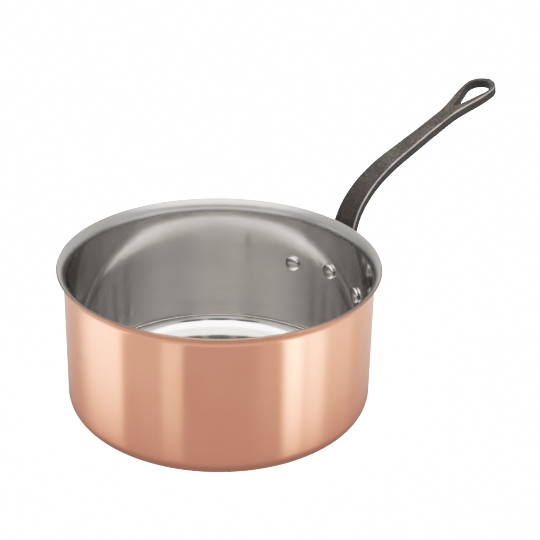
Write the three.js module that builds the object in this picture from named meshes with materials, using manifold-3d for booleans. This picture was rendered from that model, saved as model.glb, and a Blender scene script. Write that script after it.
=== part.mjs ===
// Copper saucepan, 24 cm: a copper body lined with stainless steel, and a cast iron handle on three rivets.
// Millimetres. +Z is up, and the origin is the centre of the base's underside. The handle points along +X.

import * as THREE from 'three';
import { mergeVertices } from 'three/addons/utils/BufferGeometryUtils.js';
import Module from 'manifold-3d';

const wasm = await Module();
wasm.setup();

// Driving dimensions of the pan. The lip curls outwards by LIP_TURN degrees and is cut square across its end.
// CORNER_RADIUS and LIP_RADIUS are the outer surface's.
const INNER_RADIUS = 120;
const PAN_HEIGHT = 122.4;
const COPPER_THICKNESS = 1.8;
const STEEL_THICKNESS = 0.2;
const CORNER_RADIUS = 15;
const LIP_RADIUS = 9.5;
const LIP_TURN = 65;

const WALL_THICKNESS = COPPER_THICKNESS + STEEL_THICKNESS;
const OUTER_RADIUS = INNER_RADIUS + WALL_THICKNESS;
const LIP_START = PAN_HEIGHT - (LIP_RADIUS + WALL_THICKNESS) * Math.sin(THREE.MathUtils.degToRad(LIP_TURN));

// Driving dimensions of the rivets.
const RIVET_PLACES = {
  rivet_left: { angle: 19, height: 72 },
  rivet_centre: { angle: 0, height: 77 },
  rivet_right: { angle: -19, height: 72 },
};
const RIVET_SHANK_RADIUS = 3.5;
const RIVET_HOLE_RADIUS = 3.8;
const RIVET_HEAD = { radius: 6.5, side: 1.1, crown: 1.9 };
const RIVET_CLOSING_HEAD = { radius: 5.6, side: 0.5, crown: 1.3 };
const RIVET_HEAD_SEAT = INNER_RADIUS - 0.55;
const RIVET_CLOSING_PLAY = 0.1;
const RIVET_BORE = { from: INNER_RADIUS - 10, to: OUTER_RADIUS + 20 };

// Driving dimensions of the handle's fixing flange. Its outline is symmetric, and each half is a curve from the
// lowest point in the middle, the round lobe of an outer rivet, and a curve up to the shank's root. The curves'
// points are (across, height); the lobe's two angles are in degrees.
const FLANGE_GAP = 0.3;
const FLANGE_THICKNESS = 4.8;
const FLANGE_INNER_RADIUS = OUTER_RADIUS + FLANGE_GAP;
const FLANGE_OUTER_RADIUS = FLANGE_INNER_RADIUS + FLANGE_THICKNESS;
const FLANGE_BLANK = { bottom: 50, top: 110 };
const FLANGE_LOW_CURVE = [[0, 62], [14, 62], [25.7, 64]];
const FLANGE_HIGH_CURVE = [[24, 83], [18, 88], [16, 99]];
const LOBE_RADIUS = 10.5;
const LOBE_TURN = [-109, 120];

// Driving dimensions of the handle's shank and eye. Lengths run along its top face from the root.
// Each bend is [length from the root, slope in degrees]; the slope changes evenly between two of them.
const HANDLE_ROOT = { x: FLANGE_INNER_RADIUS + 0.3, z: 86 };
const HANDLE_BENDS = [[0, 70], [37, 70], [58, 49], [81, 33], [109, 21], [222, 20.5], [237, 11]];
const HANDLE_WIDTHS = [[0, 32], [18, 26.5], [37, 24], [75, 21.1], [112, 18.1], [150, 15.5], [170, 15.5]];
const HANDLE_THICKNESSES = [[0, 4], [16, 5.6], [60, 7], [100, 8.2], [150, 8.6], [200, 8.6], [237, 8]];
const HANDLE_EDGE_RADIUS = 1.2;
const HANDLE_RINGS = { shank: 36, end: 10 };
const EYE = { centre: 221.6, radius: 15, shoulder: 175 };
const EYE_HOLE = { centre: 220, radius: 11, point: 189 };

const AROUND = 64;
const UP = new THREE.Vector3(0, 0, 1);

// Points on an arc about (x, y), from one angle to another in degrees, both ends included.
function arcPoints(x, y, radius, fromDegrees, toDegrees, steps) {
  const points = [];
  for (let i = 0; i <= steps; i++) {
    const angle = THREE.MathUtils.degToRad(fromDegrees + ((toDegrees - fromDegrees) * i) / steps);
    points.push(new THREE.Vector2(x + radius * Math.cos(angle), y + radius * Math.sin(angle)));
  }
  return points;
}

// A value read from [place, value] pairs by straight lines between them.
function interpolate(pairs, place) {
  if (place <= pairs[0][0]) return pairs[0][1];
  for (let i = 1; i < pairs.length; i++) {
    const [start, from] = pairs[i - 1];
    const [end, to] = pairs[i];
    if (place <= end) return from + ((to - from) * (place - start)) / (end - start);
  }
  return pairs[pairs.length - 1][1];
}

// A solid for joining and cutting, from a closed geometry. Triangles with no area, such as a lathe's on its
// axis, are left out.
function toSolid(geometry) {
  const bare = geometry.clone();
  for (const name of ['normal', 'uv']) bare.deleteAttribute(name);
  const merged = mergeVertices(bare, 1e-4);
  const index = merged.index.array;
  const triangles = [];
  for (let i = 0; i < index.length; i += 3) {
    const [a, b, c] = [index[i], index[i + 1], index[i + 2]];
    if (a !== b && b !== c && c !== a) triangles.push(a, b, c);
  }
  const vertProperties = new Float32Array(merged.attributes.position.array);
  return new wasm.Manifold(new wasm.Mesh({ numProp: 3, vertProperties, triVerts: new Uint32Array(triangles) }));
}

function toGeometry(solid) {
  const mesh = solid.getMesh();
  const geometry = new THREE.BufferGeometry();
  geometry.setAttribute('position', new THREE.BufferAttribute(mesh.vertProperties, 3));
  geometry.setIndex(new THREE.BufferAttribute(mesh.triVerts, 1));
  geometry.computeVertexNormals();
  return geometry;
}

// A lathe about the pan's own upright axis. Profile points are (radius, height), outside first and going up.
function latheUpright(profile, segments = AROUND) {
  const geometry = new THREE.LatheGeometry(profile, segments);
  geometry.rotateX(Math.PI / 2);
  return geometry;
}

// One surface of the pan, from the base's centre to the lip's edge, a distance in from the outer surface.
function panSurface(inset) {
  const cornerCentre = OUTER_RADIUS - CORNER_RADIUS;
  const lipCentre = OUTER_RADIUS + LIP_RADIUS;
  return [
    new THREE.Vector2(0, inset),
    ...arcPoints(cornerCentre, CORNER_RADIUS, CORNER_RADIUS - inset, -90, 0, 6),
    ...arcPoints(lipCentre, LIP_START, LIP_RADIUS + inset, 180, 180 - LIP_TURN, 6),
  ];
}

function panLayer(outerInset, innerInset) {
  return latheUpright([...panSurface(outerInset), ...panSurface(innerInset).reverse()]);
}

// A straight bore along the rivet's own axis, which runs outwards through the wall.
function rivetBore({ angle, height }) {
  const { from, to } = RIVET_BORE;
  const geometry = new THREE.CylinderGeometry(RIVET_HOLE_RADIUS, RIVET_HOLE_RADIUS, to - from, 24);
  geometry.rotateZ(-Math.PI / 2);
  geometry.translate((from + to) / 2, 0, height);
  geometry.rotateZ(THREE.MathUtils.degToRad(angle));
  return toSolid(geometry);
}

function withRivetHoles(solid) {
  return Object.values(RIVET_PLACES).reduce((rest, place) => rest.subtract(rivetBore(place)), solid);
}

// A dome's outline from its rim to its crown on the axis, as (radius, distance along the axis).
function domePoints(radius, base, rise, steps) {
  const points = [];
  for (let i = 0; i <= steps; i++) {
    const angle = (Math.PI / 2) * (i / steps);
    points.push(new THREE.Vector2(radius * Math.cos(angle), base + rise * Math.sin(angle)));
  }
  return points;
}

// A rivet as a lathe about its own axis: the head inside the pan, the shank, and the closing head outside.
function rivetGeometry({ angle, height }) {
  const head = RIVET_HEAD;
  const closing = RIVET_CLOSING_HEAD;
  const closingSeat = FLANGE_OUTER_RADIUS + RIVET_CLOSING_PLAY;
  const profile = [
    ...domePoints(head.radius, -RIVET_HEAD_SEAT + head.side, head.crown, 5).reverse(),
    new THREE.Vector2(head.radius, -RIVET_HEAD_SEAT),
    new THREE.Vector2(RIVET_SHANK_RADIUS, -RIVET_HEAD_SEAT),
    new THREE.Vector2(RIVET_SHANK_RADIUS, -closingSeat),
    new THREE.Vector2(closing.radius, -closingSeat),
    ...domePoints(closing.radius, -closingSeat - closing.side, -closing.crown, 4),
  ];
  profile.reverse();
  const geometry = new THREE.LatheGeometry(profile, 24);
  geometry.rotateZ(Math.PI / 2);
  geometry.translate(0, 0, height);
  geometry.rotateZ(THREE.MathUtils.degToRad(angle));
  return toGeometry(toSolid(geometry));
}

// The flange's outline as seen from the handle's end, as (across, height): an arm to each outer rivet's lobe
// and a hump in the middle, where the shank begins.
function flangeOutline() {
  const rivet = RIVET_PLACES.rivet_left;
  const across = OUTER_RADIUS * Math.sin(THREE.MathUtils.degToRad(rivet.angle));
  const lobe = arcPoints(across, rivet.height, LOBE_RADIUS, ...LOBE_TURN, 12);
  const low = FLANGE_LOW_CURVE.map((point) => new THREE.Vector2(...point));
  const high = FLANGE_HIGH_CURVE.map((point) => new THREE.Vector2(...point));
  const half = [
    ...new THREE.CubicBezierCurve(...low, lobe[0]).getPoints(8),
    ...lobe.slice(1),
    ...new THREE.CubicBezierCurve(lobe[lobe.length - 1], ...high).getPoints(8).slice(1),
  ];
  const otherHalf = half.slice(1).reverse().map(({ x, y }) => new THREE.Vector2(-x, y));
  return new THREE.Shape([...half, ...otherHalf]);
}

// The flange is the part of a curved plate that lies inside the outline.
function flangeSolid() {
  const { bottom, top } = FLANGE_BLANK;
  const plate = latheUpright([
    new THREE.Vector2(FLANGE_INNER_RADIUS, bottom),
    new THREE.Vector2(FLANGE_OUTER_RADIUS, bottom),
    new THREE.Vector2(FLANGE_OUTER_RADIUS, top),
    new THREE.Vector2(FLANGE_INNER_RADIUS, top),
    new THREE.Vector2(FLANGE_INNER_RADIUS, bottom),
  ]);
  const depth = INNER_RADIUS / 2;
  const prism = new THREE.ExtrudeGeometry(flangeOutline(), { depth, bevelEnabled: false });
  prism.applyMatrix4(new THREE.Matrix4().makeBasis(new THREE.Vector3(0, 1, 0), UP, new THREE.Vector3(1, 0, 0)));
  prism.translate(OUTER_RADIUS - depth / 2, 0, 0);
  return toSolid(plate).intersect(toSolid(prism));
}

// The handle's top face in the upright plane y = 0: place and slope at a length from the root.
function handleLine(length) {
  const step = 0.5;
  let { x, z } = HANDLE_ROOT;
  for (let at = 0; at < length - 1e-9; at += step) {
    const piece = Math.min(step, length - at);
    const slope = THREE.MathUtils.degToRad(interpolate(HANDLE_BENDS, at + piece / 2));
    x += piece * Math.cos(slope);
    z += piece * Math.sin(slope);
  }
  const slope = THREE.MathUtils.degToRad(interpolate(HANDLE_BENDS, length));
  return { x, z, slope };
}

// Half the handle's width: the tapered shank, a smooth swelling from the shoulder, and the eye's round end.
function handleHalfWidth(length) {
  const shank = interpolate(HANDLE_WIDTHS, length) / 2;
  if (length >= EYE.centre) {
    return Math.sqrt(Math.max(EYE.radius ** 2 - (length - EYE.centre) ** 2, 0));
  }
  const swell = THREE.MathUtils.smoothstep(length, EYE.shoulder, EYE.centre);
  return shank + (EYE.radius - shank) * swell;
}

// A bar one unit long is extruded in steps. Then each of its rings is moved to its place along the handle's
// line and sized to the handle's width and thickness there. Its corners keep their radius.
function shankSolid() {
  const steps = HANDLE_RINGS.shank + HANDLE_RINGS.end;
  const shortOfTip = 0.4;
  const corner = 0.25;
  const outline = new THREE.Shape();
  for (const [i, [x, y]] of [[1, 1], [-1, 1], [-1, -1], [1, -1]].entries()) {
    const points = arcPoints(x * (1 - corner), y * (1 - corner), corner, i * 90, i * 90 + 90, 2);
    for (const point of points) {
      if (i === 0 && point === points[0]) outline.moveTo(point.x, point.y);
      else outline.lineTo(point.x, point.y);
    }
  }
  const bar = new THREE.ExtrudeGeometry(outline, { depth: 1, steps, bevelEnabled: false });
  const position = bar.attributes.position;
  const place = (unit) => {
    const ring = Math.round(unit * steps);
    if (ring <= HANDLE_RINGS.shank) return (EYE.centre * ring) / HANDLE_RINGS.shank;
    const turn = ((Math.PI / 2) * (ring - HANDLE_RINGS.shank)) / (HANDLE_RINGS.end + shortOfTip);
    return EYE.centre + EYE.radius * Math.sin(turn);
  };
  const size = (unit, half, edge) => {
    const straight = 1 - corner;
    if (Math.abs(unit) <= straight) return (unit / straight) * (half - edge);
    return Math.sign(unit) * (half - edge + ((Math.abs(unit) - straight) / corner) * edge);
  };
  for (let i = 0; i < position.count; i++) {
    const length = place(position.getZ(i));
    const line = handleLine(length);
    const halfWidth = handleHalfWidth(length);
    const thickness = interpolate(HANDLE_THICKNESSES, length);
    const edge = Math.min(HANDLE_EDGE_RADIUS, halfWidth * 0.4);
    const across = size(position.getX(i), halfWidth, edge);
    const above = size(position.getY(i), thickness / 2, edge) - thickness / 2;
    position.setXYZ(
      i,
      line.x - above * Math.sin(line.slope),
      across,
      line.z + above * Math.cos(line.slope),
    );
  }
  return toSolid(bar);
}

// The hanging hole is a teardrop, pointed towards the pan, cut square to the eye's middle.
function eyeHoleSolid() {
  const { centre, radius, point } = EYE_HOLE;
  const reach = centre - point;
  const tangent = Math.acos(radius / reach);
  const outline = new THREE.Shape();
  outline.moveTo(-reach, 0);
  outline.lineTo(-radius * Math.cos(tangent), -radius * Math.sin(tangent));
  outline.absarc(0, 0, radius, -Math.PI + tangent, Math.PI - tangent, false);
  outline.lineTo(-reach, 0);
  const depth = 40;
  const prism = new THREE.ExtrudeGeometry(outline, { depth, bevelEnabled: false, curveSegments: 14 });
  prism.translate(0, 0, -depth / 2);
  const line = handleLine(centre);
  prism.rotateY(-line.slope);
  prism.translate(line.x, 0, line.z);
  return toSolid(prism);
}

const copper = new THREE.MeshStandardMaterial({ color: '#c98765', roughness: 0.28, metalness: 1 });
const steel = new THREE.MeshStandardMaterial({ color: '#a9a5a0', roughness: 0.3, metalness: 1 });
const iron = new THREE.MeshStandardMaterial({ color: '#55504c', roughness: 0.65, metalness: 0.6 });

function namedMesh(name, geometry, material) {
  const mesh = new THREE.Mesh(geometry, material);
  mesh.name = name;
  return mesh;
}

const saucepan = new THREE.Group();

const copperLayer = toSolid(panLayer(0, COPPER_THICKNESS));
saucepan.add(namedMesh('copper_shell', toGeometry(withRivetHoles(copperLayer)), copper));

const steelLayer = toSolid(panLayer(COPPER_THICKNESS, WALL_THICKNESS));
saucepan.add(namedMesh('steel_lining', toGeometry(withRivetHoles(steelLayer)), steel));

const bar = shankSolid().subtract(eyeHoleSolid());
saucepan.add(namedMesh('handle', toGeometry(withRivetHoles(flangeSolid().add(bar))), iron));

for (const [name, place] of Object.entries(RIVET_PLACES)) {
  saucepan.add(namedMesh(name, rivetGeometry(place), steel));
}

export default saucepan;
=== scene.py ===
"""Copper saucepan: the looks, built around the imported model. Metres, in the model's own frame.

+Z is up, the origin is the centre of the base's underside, and the handle points along +X.
"""

import math

import bmesh
import bpy
import numpy as np
from mathutils import Matrix, Vector


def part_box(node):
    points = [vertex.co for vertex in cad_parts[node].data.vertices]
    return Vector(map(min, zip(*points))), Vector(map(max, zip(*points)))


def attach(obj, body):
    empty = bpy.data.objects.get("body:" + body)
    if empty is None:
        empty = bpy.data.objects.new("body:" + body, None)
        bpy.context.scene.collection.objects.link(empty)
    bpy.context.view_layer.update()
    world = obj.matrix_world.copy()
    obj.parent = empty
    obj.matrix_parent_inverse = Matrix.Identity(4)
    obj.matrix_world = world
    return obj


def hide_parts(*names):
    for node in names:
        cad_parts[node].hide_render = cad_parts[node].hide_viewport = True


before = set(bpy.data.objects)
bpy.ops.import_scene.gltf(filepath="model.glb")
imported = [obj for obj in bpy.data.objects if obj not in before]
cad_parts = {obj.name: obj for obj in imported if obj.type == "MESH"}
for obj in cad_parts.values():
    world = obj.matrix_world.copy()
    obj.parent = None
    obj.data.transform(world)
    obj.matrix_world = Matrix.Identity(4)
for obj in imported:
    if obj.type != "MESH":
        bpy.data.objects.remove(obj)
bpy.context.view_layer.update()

MM = 0.001

# Driving sizes of the pan: its radius and height come from the frame. The lip curls outwards by LIP_TURN
# degrees and is cut square across its end. CORNER_RADIUS and LIP_RADIUS are the outer surface's.
COPPER_THICKNESS = 1.8 * MM
STEEL_THICKNESS = 0.2 * MM
CORNER_RADIUS = 15 * MM
LIP_RADIUS = 9.5 * MM
LIP_TURN = 65
EDGE_ROUNDING = 0.35 * MM
LAYER_GAP = 0.01 * MM

WALL_THICKNESS = COPPER_THICKNESS + STEEL_THICKNESS
PAN_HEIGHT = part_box("steel_lining")[1].z
LIP_START = PAN_HEIGHT - (LIP_RADIUS + WALL_THICKNESS) * math.sin(math.radians(LIP_TURN))
LIP_EDGE_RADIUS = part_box("copper_shell")[1].x
OUTER_RADIUS = LIP_EDGE_RADIUS - LIP_RADIUS * (1 - math.cos(math.radians(LIP_TURN)))
INNER_RADIUS = OUTER_RADIUS - WALL_THICKNESS

# Driving sizes of the rivets. Angles are about the pan's axis, from +X.
RIVET_PLACES = {
    "rivet_left": {"angle": 19, "height": 72 * MM},
    "rivet_centre": {"angle": 0, "height": 77 * MM},
    "rivet_right": {"angle": -19, "height": 72 * MM},
}
RIVET_SHANK_RADIUS = 3.5 * MM
RIVET_HEAD = {"radius": 6.5 * MM, "side": 1.1 * MM, "crown": 1.9 * MM, "chamfer": 0.35 * MM}
RIVET_CLOSING_HEAD = {"radius": 5.6 * MM, "side": 0.5 * MM, "crown": 1.3 * MM, "chamfer": 0.105 * MM}
RIVET_HEAD_SEAT = INNER_RADIUS - 0.3 * MM

# Driving sizes of the flange, which is cut from a curved blank by an outline that goes right through it. The
# outline is in millimetres, as (across, height): a curve from the middle of the low edge to the lobe of an
# outer rivet, an arc of LOBE_TURN degrees round that rivet, and a curve up to the shank. The low curve's
# controls are pulled out from the middle and in from the rivet, and the second one is raised. The high curve
# is given by its two controls and its end.
FLANGE_INNER_RADIUS = OUTER_RADIUS + 0.1 * MM
FLANGE_OUTER_RADIUS = OUTER_RADIUS + 5.1 * MM
FLANGE_BLANK = {"bottom": 50 * MM, "top": 110 * MM}
FLANGE_CUT = {"middle": 120 * MM, "depth": 60 * MM}
FLANGE_LOW_EDGE = 62
FLANGE_LOW_CURVE = {"pull": 14, "rise": 2}
FLANGE_HIGH_CURVE = [(24, 83), (18, 88), (15, 99)]
LOBE_RADIUS = 10.5
LOBE_TURN = (-109, 120)

# Driving sizes of the handle, in millimetres apart from the root's place. Lengths run along its top face from
# the root. The slope, in degrees, changes evenly between two bends.
HANDLE_ROOT = (OUTER_RADIUS + 0.6 * MM, 86 * MM)
HANDLE_BENDS = [(0, 70), (37, 70), (58, 49), (81, 33), (109, 21), (222, 20.5), (237, 11)]
HANDLE_WIDTHS = [(0, 32), (18, 26.5), (37, 24), (75, 21.1), (112, 18.1), (150, 15.5), (170, 15.5)]
HANDLE_THICKNESSES = [(0, 4), (16, 5.6), (60, 7), (100, 8.2), (150, 8.6), (200, 8.6), (237, 8)]
EYE = {"centre": 221.6, "radius": 15, "shoulder": 175}
EYE_HOLE = {"centre": 220, "radius": 11, "point": 189, "point_radius": 1.6, "depth": 30}

# The handle's section. Where the bar is slight, a rounded edge takes up no more than EDGE_SHARE of the half
# width or of the thickness, and the draft of a side no more than DRAFT_SHARE of the half width.
TOP_EDGE_RADIUS = 1.6
LOW_EDGE_RADIUS = 1.0
SIDE_DRAFT = 0.2
TOP_CROWN = 0.1
EDGE_SHARE = 0.4
DRAFT_SHARE = 0.1

# How finely things are made: the steps round the pan and round a rivet, the size of the cells that the
# casting is fused in, and how many times its surface is relaxed. A radius below ON_AXIS is a point on the
# axis. The handle's line is followed up to LINE_LENGTH, which is past its end, and its round end is closed by
# a section that is TIP_GAP radians short of the tip, where the width runs out.
PAN_SEGMENTS = 320
RIVET_SEGMENTS = 64
FULL_CASTING = {"cell": 0.5 * MM, "relaxes": 3}
ON_AXIS = 1e-9
LINE_LENGTH = 240
LINE_STEP = 0.25
MARK_STEP = 0.5
TIP_GAP = 0.06


def interpolate(pairs, place):
    """Values read from (place, value) pairs by straight lines between them."""
    places, values = zip(*pairs)
    return np.interp(place, places, values)


# Meshes


def add_mesh(name, vertices, faces, smooth=True):
    mesh = bpy.data.meshes.new(name)
    mesh.from_pydata([tuple(v) for v in vertices], [], faces)
    mesh.validate()
    mesh.polygons.foreach_set("use_smooth", [smooth] * len(mesh.polygons))
    piece = bpy.data.objects.new(name, mesh)
    bpy.context.scene.collection.objects.link(piece)
    return piece


def arc(x, y, radius, from_degrees, to_degrees, steps):
    """Points on an arc about (x, y), both ends included."""
    angles = np.radians(np.linspace(from_degrees, to_degrees, steps + 1))
    return [(x + radius * math.cos(a), y + radius * math.sin(a)) for a in angles]


def bezier(start, first, second, end, steps):
    """Points along a cubic curve, without its start."""
    controls = (start, first, second, end)
    points = []
    for t in np.linspace(0, 1, steps + 1)[1:]:
        weights = ((1 - t) ** 3, 3 * t * (1 - t) ** 2, 3 * t * t * (1 - t), t**3)
        points.append(tuple(sum(w * p[k] for w, p in zip(weights, controls)) for k in (0, 1)))
    return points


def lathe(name, profile, segments=PAN_SEGMENTS):
    """A closed solid of revolution about Z. The profile goes counterclockwise in (radius, height), so that
    its faces point out; where it starts or ends on the axis, that point is a single vertex."""
    turns = [2 * math.pi * i / segments for i in range(segments)]
    vertices, rings = [], []
    for radius, height in profile:
        if radius < ON_AXIS:
            rings.append([len(vertices)] * segments)
            vertices.append((0, 0, height))
            continue
        rings.append(list(range(len(vertices), len(vertices) + segments)))
        vertices += [(radius * math.cos(t), radius * math.sin(t), height) for t in turns]
    open_at_axis = profile[0][0] < ON_AXIS and profile[-1][0] < ON_AXIS
    faces = []
    for at in range(len(rings) - 1 if open_at_axis else len(rings)):
        low, high = rings[at], rings[(at + 1) % len(rings)]
        for i in range(segments):
            j = (i + 1) % segments
            corners = [low[i], low[j], high[j], high[i]]
            faces.append([c for n, c in enumerate(corners) if c != corners[n - 1]])
    return add_mesh(name, vertices, faces)


def prism(name, outline, depth, place):
    """An outline in (x, y) extruded up and down from z = 0 by half the depth, then put in its place."""
    count = len(outline)
    low = [(x, y, -depth / 2) for x, y in outline]
    high = [(x, y, depth / 2) for x, y in outline]
    sides = [[i, (i + 1) % count, count + (i + 1) % count, count + i] for i in range(count)]
    faces = sides + [list(range(count - 1, -1, -1)), list(range(count, 2 * count))]
    piece = add_mesh(name, low + high, faces, smooth=False)
    piece.data.transform(place)
    return piece


def apply_modifiers(piece):
    """Leaves the piece with the mesh that its modifiers make."""
    graph = bpy.context.evaluated_depsgraph_get()
    made = bpy.data.meshes.new_from_object(piece.evaluated_get(graph))
    piece.modifiers.clear()
    piece.data = made


def boolean(piece, tool, operation):
    """Cuts or intersects piece with tool, and removes tool."""
    modifier = piece.modifiers.new(operation, "BOOLEAN")
    modifier.operation = operation
    modifier.object = tool
    modifier.solver = "EXACT"
    apply_modifiers(piece)
    bpy.data.objects.remove(tool)
    return piece


# The pan


def pan_surface(inset):
    """One surface of the pan, from the base's centre to the lip's edge, a distance in from the outside."""
    corner_centre = OUTER_RADIUS - CORNER_RADIUS
    lip_centre = OUTER_RADIUS + LIP_RADIUS
    floor = [(r, inset) for r in np.linspace(0, corner_centre, 9)[:-1]]
    wall = [(OUTER_RADIUS - inset, z) for z in np.linspace(CORNER_RADIUS, LIP_START, 13)[1:-1]]
    return (
        floor
        + arc(corner_centre, CORNER_RADIUS, CORNER_RADIUS - inset, -90, 0, steps=16)
        + wall
        + arc(lip_centre, LIP_START, LIP_RADIUS + inset, 180, 180 - LIP_TURN, steps=16)
    )


def edge_rounding(inset, radius, side):
    """A quarter turn at the lip's end that rounds the corner of a surface. The material lies above it where
    side is 1, and below it where side is -1."""
    across = LIP_RADIUS + inset + side * radius
    along = math.radians(180 - LIP_TURN) + radius / across
    x = OUTER_RADIUS + LIP_RADIUS + across * math.cos(along)
    z = LIP_START + across * math.sin(along)
    end = 90 - LIP_TURN
    start = end - 90 if side > 0 else end
    return arc(x, z, radius, start, start + 90, steps=4)


def copper_shell():
    """The copper, with its edge rounded where the lip's underside ends."""
    outside = pan_surface(0)[:-1]
    inside = pan_surface(COPPER_THICKNESS)
    return lathe("copper_shell_fine", outside + edge_rounding(0, EDGE_ROUNDING, 1) + inside[::-1])


def steel_lining():
    """The lining, with its edge rounded where the lip's top ends."""
    outside = pan_surface(COPPER_THICKNESS + LAYER_GAP)[:-1]
    inside = pan_surface(WALL_THICKNESS)[:-1]
    rounding = edge_rounding(WALL_THICKNESS, STEEL_THICKNESS - LAYER_GAP, -1)
    return lathe("steel_lining_fine", outside + rounding + inside[::-1])


def rivet(name, angle, height):
    """A rivet turned about its own axis: the head inside the pan, the shank, and the closing head outside.
    Places along it are distances from the pan's axis with a minus sign, so that they grow inwards."""
    head, closing = RIVET_HEAD, RIVET_CLOSING_HEAD
    head_seat, closing_seat = -RIVET_HEAD_SEAT, -FLANGE_OUTER_RADIUS

    def dome(radius, rise, steps):
        angles = np.linspace(0, math.pi / 2, steps + 1)
        return [(radius * math.cos(a), rise * math.sin(a)) for a in angles]

    inner = dome(head["radius"], head["crown"], steps=14)
    outer = dome(closing["radius"], closing["crown"], steps=12)
    profile = (
        [(r, closing_seat - closing["side"] - rise) for r, rise in outer[::-1]]
        + [(closing["radius"], closing_seat - closing["chamfer"])]
        + [(closing["radius"] - closing["chamfer"], closing_seat)]
        + [(RIVET_SHANK_RADIUS, closing_seat)]
        + [(RIVET_SHANK_RADIUS, head_seat)]
        + [(head["radius"] - head["chamfer"], head_seat)]
        + [(head["radius"], head_seat + head["chamfer"])]
        + [(r, head_seat + head["side"] + rise) for r, rise in inner]
    )
    piece = lathe(name + "_fine", profile, RIVET_SEGMENTS)
    turn = Matrix.Rotation(math.radians(angle), 4, "Z") @ Matrix.Translation((0, 0, height))
    piece.data.transform(turn @ Matrix.Rotation(-math.pi / 2, 4, "Y"))
    return piece


# The handle


def handle_line(length):
    """The handle's top face in the plane y = 0: x, z and slope, at lengths in millimetres from the root."""
    fine = np.arange(0, LINE_LENGTH, LINE_STEP)
    slope = np.radians(interpolate(HANDLE_BENDS, fine))
    x = HANDLE_ROOT[0] + np.concatenate([[0], np.cumsum(np.cos(slope[:-1]))]) * LINE_STEP * MM
    z = HANDLE_ROOT[1] + np.concatenate([[0], np.cumsum(np.sin(slope[:-1]))]) * LINE_STEP * MM
    return np.interp(length, fine, x), np.interp(length, fine, z), np.interp(length, fine, slope)


def handle_half_width(length):
    """Half the width: the tapered shank, a smooth swelling from the shoulder, and the eye's round end."""
    shank = interpolate(HANDLE_WIDTHS, length) / 2
    if length >= EYE["centre"]:
        return math.sqrt(max(EYE["radius"] ** 2 - (length - EYE["centre"]) ** 2, 0))
    swell = min(max((length - EYE["shoulder"]) / (EYE["centre"] - EYE["shoulder"]), 0), 1)
    return shank + (EYE["radius"] - shank) * swell * swell * (3 - 2 * swell)


def handle_section(half_width, thickness):
    """The section's outline: a nearly flat top, small round edges and sides with a little draft."""
    most = min(half_width, thickness) * EDGE_SHARE
    top_edge = min(TOP_EDGE_RADIUS, most)
    low_edge = min(LOW_EDGE_RADIUS, most)
    draft = min(SIDE_DRAFT, half_width * DRAFT_SHARE)
    top_x, top_y = half_width - top_edge, -top_edge - TOP_CROWN
    low_x, low_y = half_width - draft - low_edge, -thickness + low_edge
    top_right = arc(top_x, top_y, top_edge, 0, 90, steps=5)
    top_left = arc(-top_x, top_y, top_edge, 90, 180, steps=5)
    low_left = arc(-low_x, low_y, low_edge, 180, 270, steps=5)
    low_right = arc(low_x, low_y, low_edge, 270, 360, steps=5)
    top = [(x, -TOP_CROWN * (x / half_width) ** 2) for x in np.linspace(1, -1, 9) * top_x]
    return top_right[:-1] + top + top_left[1:] + low_left + low_right


def shank():
    """The shank and the eye as one solid bar, before the hanging hole is cut."""
    to_eye = np.arange(0, EYE["centre"], 1.0)
    round_end = np.linspace(0, math.pi / 2 - TIP_GAP, 22)
    lengths = np.concatenate([to_eye, EYE["centre"] + EYE["radius"] * np.sin(round_end)])
    vertices, faces = [], []
    for length in lengths:
        x, z, slope = handle_line(length)
        outline = handle_section(handle_half_width(length), interpolate(HANDLE_THICKNESSES, length))
        for across, above in outline:
            rise = above * MM
            vertices.append((x - rise * math.sin(slope), across * MM, z + rise * math.cos(slope)))
    count = len(vertices) // len(lengths)
    for ring in range(len(lengths) - 1):
        low, high = ring * count, (ring + 1) * count
        for i in range(count):
            j = (i + 1) % count
            faces.append([low + i, high + i, high + j, low + j])
    faces.append(list(range(count)))
    faces.append(list(range(len(vertices) - 1, len(vertices) - 1 - count, -1)))
    return add_mesh("handle_fine", vertices, faces)


def eye_hole():
    """The hanging hole: a teardrop with a small round point towards the pan, square to the eye's middle."""
    radius, point_radius = EYE_HOLE["radius"], EYE_HOLE["point_radius"]
    point_centre = EYE_HOLE["point"] - EYE_HOLE["centre"] + point_radius
    lean = math.degrees(math.acos((radius - point_radius) / -point_centre))
    outline = arc(0, 0, radius, -180 + lean, 180 - lean, steps=48)
    outline += arc(point_centre, 0, point_radius, 180 - lean, 180 + lean, steps=8)
    x, z, slope = handle_line(EYE_HOLE["centre"])
    place = Matrix.Translation((x, 0, z)) @ Matrix.Rotation(-slope, 4, "Y")
    return prism("eye_hole", [(px * MM, py * MM) for px, py in outline], EYE_HOLE["depth"] * MM, place)


def flange_outline():
    """The flange's outline in millimetres, as (across, height), from the middle of its low edge."""
    lobe_place = RIVET_PLACES["rivet_left"]
    across = OUTER_RADIUS / MM * math.sin(math.radians(lobe_place["angle"]))
    lobe = arc(across, lobe_place["height"] / MM, LOBE_RADIUS, *LOBE_TURN, steps=24)
    middle = (0, FLANGE_LOW_EDGE)
    pull, rise = FLANGE_LOW_CURVE["pull"], FLANGE_LOW_CURVE["rise"]
    pull_out, pull_in = (pull, FLANGE_LOW_EDGE), (across - pull, FLANGE_LOW_EDGE + rise)
    half = bezier(middle, pull_out, pull_in, lobe[0], steps=12) + lobe[1:]
    half += bezier(lobe[-1], *FLANGE_HIGH_CURVE, steps=12)
    return [middle] + half + [(-x, z) for x, z in half[::-1]]


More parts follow.
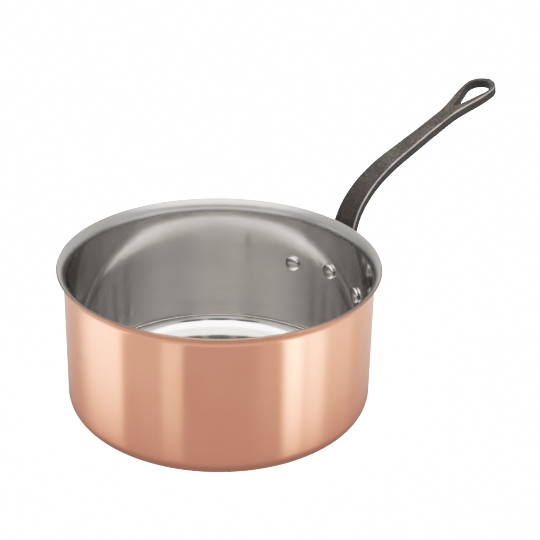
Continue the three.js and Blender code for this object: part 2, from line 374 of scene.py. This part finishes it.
def flange():
    """The fixing flange: the part of a curved blank inside the flange's outline."""
    outline = [(y * MM, z * MM) for y, z in flange_outline()]
    face_out = Matrix(((0, 0, 1, FLANGE_CUT["middle"]), (1, 0, 0, 0), (0, 1, 0, 0), (0, 0, 0, 1)))
    shape = prism("flange_shape", outline, FLANGE_CUT["depth"], face_out)
    blank = lathe(
        "flange_plate",
        [
            (FLANGE_INNER_RADIUS, FLANGE_BLANK["bottom"]),
            (FLANGE_OUTER_RADIUS, FLANGE_BLANK["bottom"]),
            (FLANGE_OUTER_RADIUS, FLANGE_BLANK["top"]),
            (FLANGE_INNER_RADIUS, FLANGE_BLANK["top"]),
        ],
    )
    return boolean(blank, shape, "INTERSECT")


def handle():
    """The whole casting. The bar, its hole and the flange are fused by remeshing, and then the surface is
    relaxed, which rounds the edges and fills the joints as a sand casting's are."""
    bar = boolean(shank(), eye_hole(), "DIFFERENCE")
    plate = flange()
    joined = bmesh.new()
    joined.from_mesh(bar.data)
    joined.from_mesh(plate.data)
    joined.to_mesh(bar.data)
    joined.free()
    bpy.data.objects.remove(plate)
    casting = FULL_CASTING
    remesh = bar.modifiers.new("fuse", "REMESH")
    remesh.mode = "VOXEL"
    remesh.voxel_size = casting["cell"]
    relax = bar.modifiers.new("relax", "SMOOTH")
    relax.factor = 0.5
    relax.iterations = casting["relaxes"]
    apply_modifiers(bar)
    bar.data.polygons.foreach_set("use_smooth", [True] * len(bar.data.polygons))
    mark_faces(bar.data)
    return bar


def mark_faces(mesh):
    """Writes two numbers at each point. The first, face_up, is 1 on the handle's top face, 0 on its sides and
    -1 underneath. The second, from_side, is the distance in from the side, in millimetres."""
    count = len(mesh.vertices)
    places = np.empty(count * 3)
    mesh.vertices.foreach_get("co", places)
    normals = np.empty(count * 3)
    mesh.vertex_normals.foreach_get("vector", normals)
    places, normals = places.reshape(-1, 3), normals.reshape(-1, 3)
    lengths = np.arange(0, LINE_LENGTH, MARK_STEP)
    x, _, slope = handle_line(lengths)
    length = np.interp(places[:, 0], x, lengths)
    slope = np.interp(places[:, 0], x, slope)
    face_up = normals[:, 2] * np.cos(slope) - normals[:, 0] * np.sin(slope)
    across = np.abs(places[:, 1]) / MM
    half_widths = [handle_half_width(place) for place in lengths]
    in_shank = np.interp(length, lengths, half_widths) - across
    in_eye = EYE["radius"] - np.hypot(length - EYE["centre"], across)
    from_side = np.where(length < EYE["centre"], in_shank, in_eye)
    for name, values in (("face_up", face_up), ("from_side", from_side)):
        mesh.attributes.new(name, "FLOAT", "POINT").data.foreach_set("value", values)


# Materials. Colours are linear red, green and blue.

COPPER = {
    "light": (0.955, 0.445, 0.315),
    "deep": (0.935, 0.42, 0.29),
    "grain": (0.965, 0.48, 0.35),
    # painted highlight: the copper is paler under the lip
    "dull_and_highlight_under_lip": (0.85, 0.6, 0.48),
    "edge": (0.37, 0.25, 0.195),
}
LINING = {
    "light": (0.675, 0.664, 0.652),
    "deep": (0.63, 0.619, 0.607),
    "grain": (0.73, 0.718, 0.705),
    # painted shade: the lining's lip is darker than the rest of the steel
    "lip": (0.35, 0.345, 0.339),
    "edge": (0.165, 0.125, 0.105),
}
RIVET_STEEL = {
    "light": (0.74, 0.73, 0.71),
    "dull": (0.62, 0.60, 0.58),
}
IRON = {
    "dark": (0.054, 0.050, 0.045),
    "light": (0.105, 0.095, 0.085),
    "rust": (0.115, 0.076, 0.060),
    "sand": (0.14, 0.13, 0.12),
    "grit": (0.21, 0.192, 0.175),
    "pits": (0.024, 0.021, 0.019),
    "near_pan": (0.022, 0.020, 0.020),
    # painted shade on the sides and underside
    "side": (0.024, 0.022, 0.021),
    # painted highlight on the top's outer edges
    "edge_highlight": (0.42, 0.41, 0.40),
}

# Where a look sets in or ends: distances from the pan's axis for the lip's underside, which is painted
# paler as a highlight, and for the cut edges, heights for the lining's lip, which is painted darker as shade,
# distances along X for the iron that is darker over the pan, and millimetres in from the side for the
# painted highlight on the iron's top edges.
UNDER_LIP = (OUTER_RADIUS + 0.5 * MM, OUTER_RADIUS + 3.0 * MM)
COPPER_EDGE = (LIP_EDGE_RADIUS - 2.4 * MM, LIP_EDGE_RADIUS - 0.8 * MM)
LINING_EDGE = (LIP_EDGE_RADIUS - 1.3 * MM, LIP_EDGE_RADIUS - 0.8 * MM)
LINING_LIP = (LIP_START - 0.5 * MM, LIP_START + 1.5 * MM)
NEAR_PAN_END = (135 * MM, 190 * MM)
EDGE_HIGHLIGHT_END = (1.8, 2.6)


class Nodes:
    """A short way to write a node tree. A call makes the nodes that it needs and returns their output."""

    def __init__(self, tree):
        self.tree = tree

    def make(self, kind, output=0, settings=None, **inputs):
        """Makes one node of a kind, and returns one of its outputs, by its number or its name."""
        node = self.tree.nodes.new("ShaderNode" + kind)
        for key, value in (settings or {}).items():
            setattr(node, key, value)
        for key, value in inputs.items():
            self.feed(self.socket(node, key), value)
        return node.outputs[output] if node.outputs else node

    def socket(self, node, key):
        """An input by its name, with underscores for spaces, or by its number after an i."""
        if key[0] == "i" and key[1:].isdigit():
            return node.inputs[int(key[1:])]
        return node.inputs[key.replace("_", " ")]

    def feed(self, socket, value):
        """Links an output to the socket, or sets its value. A colour may leave out its alpha."""
        if isinstance(value, bpy.types.NodeSocket):
            self.tree.links.new(value, socket)
        elif isinstance(value, (tuple, list)) and len(value) == 3 and socket.type == "RGBA":
            socket.default_value = (*value, 1)
        else:
            socket.default_value = value

    def math(self, operation, a, b=0.0):
        return self.make("Math", settings={"operation": operation}, i0=a, i1=b)

    def plus(self, total, *others):
        for other in others:
            total = self.math("ADD", total, other)
        return total

    def minus(self, a, b):
        return self.math("SUBTRACT", a, b)

    def times(self, product, *others):
        for other in others:
            product = self.math("MULTIPLY", product, other)
        return product

    def blend(self, factor, a, b):
        """Mixes two numbers."""
        return self.plus(a, self.times(factor, self.minus(b, a)))

    def mix(self, factor, a, b):
        """Mixes two colours."""
        node = self.tree.nodes.new("ShaderNodeMix")
        node.data_type = "RGBA"
        self.feed(node.inputs["Factor"], factor)
        self.feed(next(s for s in node.inputs if s.identifier == "A_Color"), a)
        self.feed(next(s for s in node.inputs if s.identifier == "B_Color"), b)
        return next(s for s in node.outputs if s.identifier == "Result_Color")

    def ramp(self, value, low, high, to_low=0.0, to_high=1.0):
        """Maps low..high to to_low..to_high, smoothly and clamped."""
        return self.make(
            "MapRange",
            settings={"interpolation_type": "SMOOTHSTEP"},
            Value=value,
            From_Min=low,
            From_Max=high,
            To_Min=to_low,
            To_Max=to_high,
        )

    def band(self, value, rise, fall):
        """One between two soft edges and none outside them. An edge is the range that it takes up."""
        return self.times(self.ramp(value, *rise), self.ramp(value, *fall, 1.0, 0.0))

    def place(self):
        """The point in the model's frame, in metres."""
        return self.make("TexCoord", output="Object")

    def part(self, vector, axis):
        """One of the vector's three numbers."""
        return self.make("SeparateXYZ", output=axis, Vector=vector)

    def mark(self, name):
        """A number that is written on the mesh."""
        return self.make("Attribute", output="Fac", settings={"attribute_name": name})

    def noise(self, vector, scale, detail, roughness):
        return self.make("TexNoise", Vector=vector, Scale=scale, Detail=detail, Roughness=roughness)

    def from_axis(self, vector):
        """The distance from the pan's axis."""
        flat = (1.0, 1.0, 0.0)
        level = self.make("VectorMath", settings={"operation": "MULTIPLY"}, i0=vector, i1=flat)
        return self.make("VectorMath", output="Value", settings={"operation": "LENGTH"}, Vector=level)

    def rings(self, vector, around, across):
        """Coordinates in which noise is drawn in rings on the base and in lines round the wall. Across is how
        fast it changes from one line to the next, and around is how fast it changes along them."""
        x, y, z = (self.part(vector, axis) for axis in range(3))
        radius = self.from_axis(vector)
        safe_radius = self.math("MAXIMUM", radius, 2 * MM)
        turn_x = self.times(self.math("DIVIDE", x, safe_radius), around)
        turn_y = self.times(self.math("DIVIDE", y, safe_radius), around)
        depth = self.plus(self.times(radius, across), self.times(z, across))
        return self.make("CombineXYZ", X=turn_x, Y=turn_y, Z=depth)

    def polish(self):
        """The direction of the polish, which runs round the pan."""
        return self.make("Tangent", settings={"direction_type": "RADIAL", "axis": "Z"})


def new_material(name):
    material = bpy.data.materials.new(name)
    material.use_nodes = True
    tree = material.node_tree
    tree.nodes.clear()
    return material, Nodes(tree)


def finish_material(nodes, **inputs):
    """Gives the tree its shader and its output."""
    shader = nodes.make("BsdfPrincipled", **inputs)
    nodes.make("OutputMaterial", Surface=shader)


def copper_material():
    """Polished copper with a fine grain round the pan and faint warm patches. Under the lip it is duller,
    and paler as a painted highlight, and it is dark where the lip is cut."""
    material, nodes = new_material("polished_copper")
    place = nodes.place()
    grain_place = nodes.rings(place, around=1.2, across=900.0)
    grain = nodes.noise(grain_place, scale=2.0, detail=4.0, roughness=0.65)
    patches = nodes.noise(place, scale=22.0, detail=3.0, roughness=0.55)
    cloud = nodes.noise(place, scale=7.0, detail=2.0, roughness=0.5)
    from_axis = nodes.from_axis(place)
    dull_and_highlight_under_lip = nodes.ramp(from_axis, *UNDER_LIP)
    edge = nodes.ramp(from_axis, *COPPER_EDGE)

    colour = nodes.mix(nodes.ramp(patches, 0.35, 0.7), COPPER["light"], COPPER["deep"])
    colour = nodes.mix(nodes.ramp(grain, 0.3, 0.75, 0.0, 0.35), colour, COPPER["grain"])
    # The paler colour under the lip is a painted highlight; its higher roughness is the finish.
    colour = nodes.mix(dull_and_highlight_under_lip, colour, COPPER["dull_and_highlight_under_lip"])
    colour = nodes.mix(edge, colour, COPPER["edge"])
    roughness = nodes.plus(0.14, nodes.times(grain, 0.06), nodes.times(cloud, 0.03))
    roughness = nodes.plus(roughness, nodes.times(dull_and_highlight_under_lip, 0.15), nodes.times(edge, 0.1))
    finish_material(
        nodes,
        Base_Color=colour,
        Metallic=1.0,
        Roughness=roughness,
        Anisotropic=0.85,
        Anisotropic_Rotation=0.25,
        Specular_Tint=(1.0, 0.95, 0.94),
        Tangent=nodes.polish(),
        Normal=nodes.make("Bump", Strength=0.05, Distance=0.02 * MM, Height=grain),
    )
    return material


def lining_material():
    """Polished stainless steel with a fine grain round the wall and in rings on the base, and a satin lip
    whose darker colour is painted shade.
    """
    material, nodes = new_material("polished_lining")
    place = nodes.place()
    grain_place = nodes.rings(place, around=1.0, across=700.0)
    grain = nodes.noise(grain_place, scale=2.0, detail=4.0, roughness=0.7)
    wide_place = nodes.rings(place, around=0.6, across=120.0)
    wide = nodes.noise(wide_place, scale=1.0, detail=2.0, roughness=0.5)
    cloud = nodes.noise(place, scale=12.0, detail=2.0, roughness=0.5)
    lip = nodes.ramp(nodes.part(place, 2), *LINING_LIP)
    edge = nodes.ramp(nodes.from_axis(place), *LINING_EDGE)

    colour = nodes.mix(nodes.ramp(cloud, 0.35, 0.7), LINING["light"], LINING["deep"])
    colour = nodes.mix(nodes.ramp(grain, 0.35, 0.75, 0.0, 0.5), colour, LINING["grain"])
    # The darker colour on the lip is painted shade; its roughness and relief are the satin finish.
    colour = nodes.mix(nodes.times(lip, 0.85), colour, LINING["lip"])
    colour = nodes.mix(edge, colour, LINING["edge"])
    roughness = nodes.plus(0.07, nodes.times(grain, 0.04), nodes.times(wide, 0.03), nodes.times(lip, 0.2))
    relief = nodes.times(grain, nodes.plus(1.0, nodes.times(lip, 5.0)))
    finish_material(
        nodes,
        Base_Color=colour,
        Metallic=1.0,
        Roughness=roughness,
        Anisotropic=0.6,
        Anisotropic_Rotation=0.25,
        Tangent=nodes.polish(),
        Normal=nodes.make("Bump", Strength=0.06, Distance=0.02 * MM, Height=relief),
    )
    return material


def rivet_material():
    """Polished stainless steel with faint clouds and small dull spots."""
    material, nodes = new_material("polished_steel")
    place = nodes.place()
    spots = nodes.noise(place, scale=900.0, detail=3.0, roughness=0.6)
    cloud = nodes.noise(place, scale=160.0, detail=2.0, roughness=0.5)
    finish_material(
        nodes,
        Base_Color=nodes.mix(nodes.ramp(cloud, 0.35, 0.7), RIVET_STEEL["light"], RIVET_STEEL["dull"]),
        Metallic=1.0,
        Roughness=nodes.plus(0.14, nodes.times(spots, 0.12)),
        Normal=nodes.make("Bump", Strength=0.12, Distance=0.05 * MM, Height=spots),
    )
    return material


def iron_material():
    """Dark cast iron: a sand-cast texture and faint rusty patches, darker over the pan. Its sides carry
    painted shade, and its top's outer edges are smoother and carry a painted highlight."""
    material, nodes = new_material("cast_iron")
    place = nodes.place()
    sand = nodes.noise(place, scale=1100.0, detail=4.0, roughness=0.65)
    grit = nodes.noise(place, scale=430.0, detail=5.0, roughness=0.7)
    pits = nodes.make("TexVoronoi", output="Distance", Vector=place, Scale=600.0)
    patches = nodes.noise(place, scale=65.0, detail=4.0, roughness=0.6)
    rust = nodes.noise(place, scale=38.0, detail=3.0, roughness=0.55)
    face_up = nodes.mark("face_up")
    top = nodes.ramp(face_up, 0.35, 0.9)
    near_pan = nodes.ramp(nodes.part(place, 0), *NEAR_PAN_END, 0.68, 0.0)
    # Where the painted highlight lies: the rounded top edges near the outer side, in patches.
    edge_highlight = nodes.times(
        nodes.band(face_up, (0.2, 0.5), (0.88, 0.985)),
        nodes.ramp(nodes.mark("from_side"), *EDGE_HIGHLIGHT_END, 1.0, 0.15),
        nodes.ramp(patches, 0.25, 0.6, 0.6, 1.0),
    )

    colour = nodes.mix(nodes.ramp(patches, 0.35, 0.7), IRON["dark"], IRON["light"])
    colour = nodes.mix(nodes.ramp(rust, 0.48, 0.66, 0.0, 0.7), colour, IRON["rust"])
    colour = nodes.mix(nodes.ramp(sand, 0.3, 0.75, 0.0, 0.3), colour, IRON["sand"])
    colour = nodes.mix(nodes.ramp(grit, 0.52, 0.70, 0.0, 0.75), colour, IRON["grit"])
    colour = nodes.mix(nodes.ramp(grit, 0.5, 0.32, 0.0, 0.8), colour, IRON["pits"])
    # Darker towards the pan.
    colour = nodes.mix(near_pan, colour, IRON["near_pan"])
    # Painted shade: the sides and underside are darker than the top.
    colour = nodes.mix(nodes.ramp(top, 0.0, 1.0, 0.8, 0.0), colour, IRON["side"])
    # Painted highlight: the top's outer edges are lighter.
    colour = nodes.mix(nodes.times(edge_highlight, 0.8), colour, IRON["edge_highlight"])
    roughness = nodes.plus(nodes.minus(0.58, nodes.times(edge_highlight, 0.2)), nodes.times(sand, 0.08))
    relief = nodes.plus(sand, nodes.times(nodes.ramp(pits, 0.0, 0.35), 0.6), nodes.times(grit, 1.5))
    finish_material(
        nodes,
        Base_Color=colour,
        Metallic=0.55,
        Roughness=roughness,
        Specular_IOR_Level=0.4,
        Normal=nodes.make("Bump", Strength=0.6, Distance=0.3 * MM, Height=relief),
    )
    return material


# The stage

CAMERA_PLACE = Vector((-617.5, -757.4, 589.2)) * MM
CAMERA_HEADING = math.radians(41.5)
CAMERA_PITCH = math.radians(25.88)
CAMERA_ROLL = math.radians(1.35)
CAMERA_LENS = 92.14
CAMERA_SENSOR = 36

# The floor is plain and pale, and lights the pan less than it glows to the camera. In the pan's polish it
# shows the light that comes from beyond it, and towards the pan's foot more and more of a warm shade, which
# fades over about FOOT_REACH. The shade glows by the first FOOT_GLOW at the foot and by the second from
# FOOT_EDGE on.
FLOOR_SIZE = 12.0
FLOOR_LEVEL = -0.05 * MM
FLOOR_GLOW = 2.9
FLOOR_LIGHT = 0.5
FOOT_REACH = 110 * MM
FOOT_EDGE = 24 * MM
FOOT_GLOW = (0.33, 0.5)
FOOT_TINT = (1.0, 0.93, 0.86)

# Soft light panels that stand round the pan, at and below its height: the left and the right side's bearing
# in degrees from the camera, positive to its right, how soft each of these sides is, and the strength. They
# start at the elevations PANEL_BOTTOM and end at PANEL_TOP. Between and below them is the room's own glow.
LIGHT_PANELS = [
    (-175, -116, 20, 28, 0.85),
    (-116, -76, 28, 3, 2.5),
    (-76, -42, 3, 4, 0.85),
    (-42, -27, 4, 5, 1.32),
    (28, 49, 16, 8, 0.78),
    (49, 63, 8, 5, 3.4),
    (63, 68, 5, 5, 1.9),
    (68, 83, 5, 7, 2.55),
    (83, 114, 7, 8, 1.33),
    (114, 172, 8, 16, 1.02),
]
PANEL_BOTTOM = (-80, -60)
PANEL_TOP = (2, 12)
ROOM_GLOW = 0.58
ROOM_TINT = (1.0, 0.985, 0.965)

# The white walls above the panels: their strength behind the pan and on the camera's side, how much darker
# they are on the camera's left, and the elevations over which that shade ends.
SKY_BEHIND = 1.0
SKY_CAMERA_SIDE = 0.62
SKY_LEFT_SHADE = 0.38
SKY_SHADE_END = (18, 26)

# A low white wall on the camera's side, under the gap that the camera looks through: the elevations where it
# starts and ends, how far it reaches to each side of the camera, and its strength.
LOW_WALL_START = (2, 8)
LOW_WALL_END = (18, 24)
LOW_WALL_REACH = (40, 75)
LOW_WALL_GLOW = 2.0

# Round patches of sky: a soft light low behind the pan, a white patch straight below it, a big soft box
# overhead that leans towards the camera, and the dim gap, which is three of them side by side. Each is given
# by the bearing and the elevation of its centre, its half-angle, how soft its edge is, and its strength.
SKY_PATCHES = [
    (180, 30, 30, 30, 1.1),
    (0, -90, 46, 14, 1.15),
    (0, 78, 35, 14, 2.6),
    (-24, 36.5, 9, 3, 0.22),
    (0, 36.5, 9, 3, 0.22),
    (24, 36.5, 9, 3, 0.22),
]

# How the picture answers to light, as (light, brightness): straight up to a half, then a long soft shoulder.
FILM_RESPONSE = [(0.25, 0.25), (0.5, 0.5), (0.82, 0.69), (1.2, 0.845), (1.8, 0.955)]
FILM_WHITE = 3.0

# How many times light is followed from polish to polish, and in all: the pan's inside mirrors itself.
POLISH_BOUNCES = 12
ALL_BOUNCES = 14


def make_camera():
    data = bpy.data.cameras.new("camera")
    data.lens = CAMERA_LENS
    data.sensor_width = CAMERA_SENSOR
    camera = bpy.data.objects.new("camera", data)
    heading = Matrix.Rotation(-CAMERA_HEADING, 4, "Z")
    pitch = Matrix.Rotation(math.pi / 2 - CAMERA_PITCH, 4, "X")
    roll = Matrix.Rotation(CAMERA_ROLL, 4, "Z")
    camera.matrix_world = Matrix.Translation(CAMERA_PLACE) @ heading @ pitch @ roll
    bpy.context.scene.collection.objects.link(camera)
    bpy.context.scene.camera = camera


def make_floor():
    half = FLOOR_SIZE / 2
    corners = [(-half, -half), (half, -half), (half, half), (-half, half)]
    floor = add_mesh("floor", [(x, y, FLOOR_LEVEL) for x, y in corners], [[0, 1, 2, 3]], smooth=False)
    material, nodes = new_material("pale_floor")
    seen = nodes.make("LightPath", output="Is Camera Ray")
    plain = nodes.make(
        "BsdfPrincipled",
        Base_Color=(0.9, 0.9, 0.9),
        Roughness=0.9,
        Specular_IOR_Level=0.1,
        Emission_Color=(1.0, 1.0, 1.0),
        Emission_Strength=nodes.ramp(seen, 0.0, 1.0, FLOOR_LIGHT, FLOOR_GLOW),
    )
    from_foot = nodes.math("MAXIMUM", nodes.minus(nodes.from_axis(nodes.place()), OUTER_RADIUS), 0.0)
    near = nodes.math("EXPONENT", nodes.times(from_foot, -1 / FOOT_REACH))
    foot_glow = nodes.ramp(from_foot, 0.0, FOOT_EDGE, *FOOT_GLOW)
    foot = nodes.make("Emission", Color=FOOT_TINT, Strength=foot_glow)
    beyond = nodes.make("BsdfTransparent", Color=(1.0, 1.0, 1.0))
    mirrored = nodes.make("MixShader", i0=near, i1=beyond, i2=foot)
    in_polish = nodes.make("LightPath", output="Is Glossy Ray")
    nodes.make("OutputMaterial", Surface=nodes.make("MixShader", i0=in_polish, i1=plain, i2=mirrored))
    floor.data.materials.append(material)


def make_light():
    """A light tent: soft panels round the pan, white walls above them, and patches of light and shade. The
    camera sees a plain white backdrop in its place."""
    world = bpy.data.worlds.new("light_tent")
    bpy.context.scene.world = world
    world.use_nodes = True
    world.node_tree.nodes.clear()
    nodes = Nodes(world.node_tree)
    turned = nodes.make(
        "VectorRotate",
        settings={"rotation_type": "Z_AXIS"},
        Vector=nodes.make("TexCoord", output="Generated"),
        Angle=-math.atan2(CAMERA_PLACE.y, CAMERA_PLACE.x),
    )
    along, across, up = (nodes.part(turned, axis) for axis in range(3))
    bearing = nodes.math("DEGREES", nodes.math("ARCTAN2", across, along))
    elevation = nodes.math("DEGREES", nodes.math("ARCSINE", up))

    def soft_edge(middle, softness):
        return (middle - softness / 2, middle + softness / 2)

    def sky_patch(bearing, elevation, size, softness):
        """One inside a round patch of sky, and none outside it."""
        turn, lean = math.radians(bearing), math.radians(elevation)
        centre = (math.cos(lean) * math.cos(turn), math.cos(lean) * math.sin(turn), math.sin(lean))
        product = {"operation": "DOT_PRODUCT"}
        towards = nodes.make("VectorMath", output="Value", settings=product, i0=turned, i1=centre)
        away = nodes.math("DEGREES", nodes.math("ARCCOSINE", towards))
        return nodes.ramp(away, *soft_edge(size, softness), 1.0, 0.0)

    panels = 0.0
    for left, right, soft_left, soft_right, strength in LIGHT_PANELS:
        panel = nodes.band(bearing, soft_edge(left, soft_left), soft_edge(right, soft_right))
        panels = nodes.plus(panels, nodes.times(panel, strength - ROOM_GLOW))
    panels = nodes.times(panels, nodes.band(elevation, PANEL_BOTTOM, PANEL_TOP))

    walls = nodes.ramp(along, 0.0, 0.9, SKY_BEHIND, SKY_CAMERA_SIDE)
    shade = nodes.ramp(across, -0.9, 0.0, SKY_LEFT_SHADE, 0.0)
    shade = nodes.times(shade, nodes.ramp(elevation, *SKY_SHADE_END, 1.0, 0.0))
    over_room = nodes.minus(nodes.minus(walls, shade), ROOM_GLOW)
    sky = nodes.times(nodes.ramp(elevation, *PANEL_TOP), over_room)
    light = nodes.plus(panels, sky, ROOM_GLOW)

    low_wall = nodes.band(elevation, LOW_WALL_START, LOW_WALL_END)
    aside = nodes.math("ABSOLUTE", bearing)
    low_wall = nodes.times(low_wall, nodes.ramp(aside, *LOW_WALL_REACH, 1.0, 0.0))
    light = nodes.blend(low_wall, light, LOW_WALL_GLOW)
    for *where, strength in SKY_PATCHES:
        light = nodes.blend(sky_patch(*where), light, strength)

    tent = nodes.make("Background", Color=ROOM_TINT, Strength=light)
    backdrop = nodes.make("Background", Color=(1.0, 1.0, 1.0), Strength=FLOOR_GLOW)
    seen = nodes.make("LightPath", output="Is Camera Ray")
    nodes.make("OutputWorld", Surface=nodes.make("MixShader", i0=seen, i1=tent, i2=backdrop))


def set_film_response():
    view = bpy.context.scene.view_settings
    view.view_transform = "Standard"
    view.use_curve_mapping = True
    mapping = view.curve_mapping
    mapping.white_level = [FILM_WHITE] * 3
    all_colours = mapping.curves[3]
    for light, brightness in FILM_RESPONSE:
        all_colours.points.new(light / FILM_WHITE, brightness)
    mapping.update()


# Assembly


def place_piece(piece, node, material):
    piece.data.materials.clear()
    piece.data.materials.append(material)
    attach(piece, "root")
    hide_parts(node)


bpy.context.scene.cycles.glossy_bounces = POLISH_BOUNCES
bpy.context.scene.cycles.max_bounces = ALL_BOUNCES
set_film_response()
make_camera()
make_floor()
make_light()

place_piece(copper_shell(), "copper_shell", copper_material())
place_piece(steel_lining(), "steel_lining", lining_material())
place_piece(handle(), "handle", iron_material())
rivet_steel = rivet_material()
for name, place in RIVET_PLACES.items():
    place_piece(rivet(name, place["angle"], place["height"]), name, rivet_steel)
